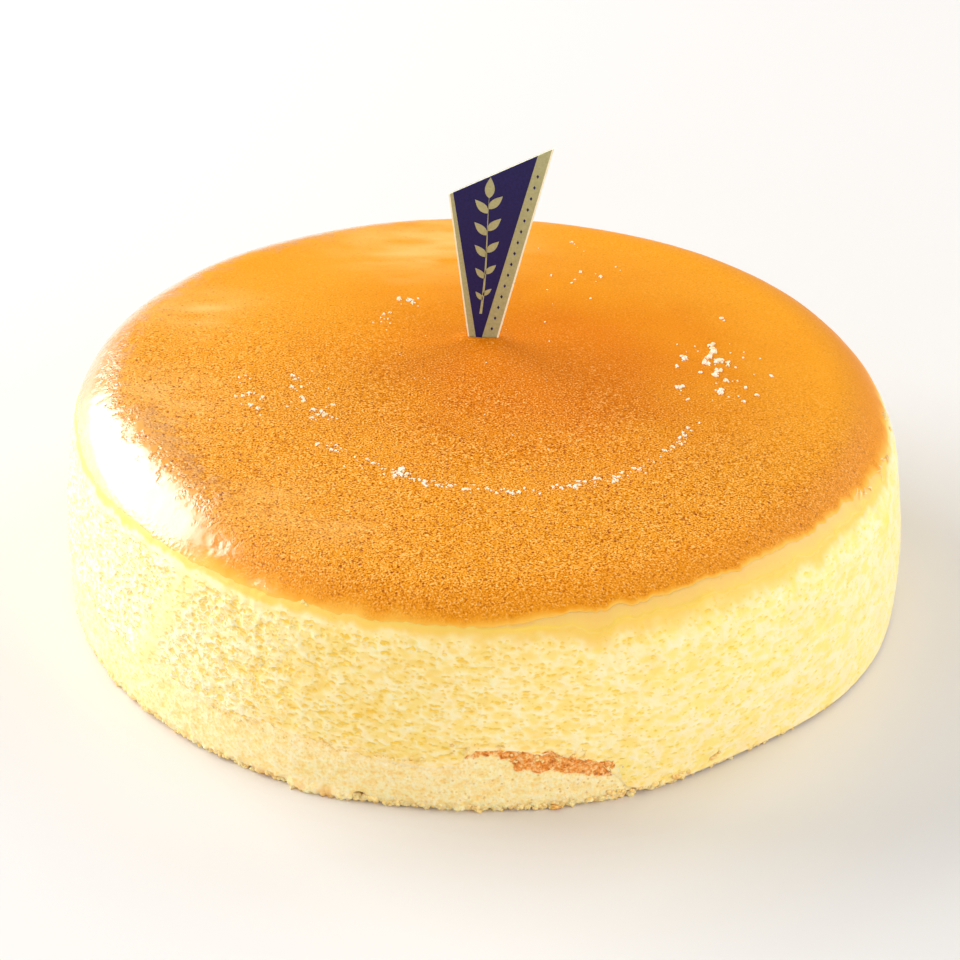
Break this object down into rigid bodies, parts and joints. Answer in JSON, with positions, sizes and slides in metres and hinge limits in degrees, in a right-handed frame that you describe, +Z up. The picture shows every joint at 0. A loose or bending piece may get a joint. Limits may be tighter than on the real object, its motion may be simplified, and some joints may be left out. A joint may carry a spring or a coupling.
{
  "type": "jiggly cheesecake",
  "caption": "Round souffle cheesecake with a browned glazed top on a thin sponge disc, with a small decorative card pick stuck in its top.",
  "frame": {"origin": "middle of the flat underside, on the surface that the cake rests on", "axes": "+Z up; the front of the cake and of the pick faces -Y, +X to the right seen from the front"},
  "size_m": [0.1508, 0.1525, 0.0789],
  "materials": {
    "souffle": "browned, lightly glazed top over a pale yellow crumb",
    "sponge": "matt, open crumb",
    "card": "navy print with metallic gold borders, satin"
  },
  "bodies": {
    "root": {"souffle_cake": "souffle", "sponge_base": "sponge", "cake_pick": "card"}
  },
  "joints": []
}
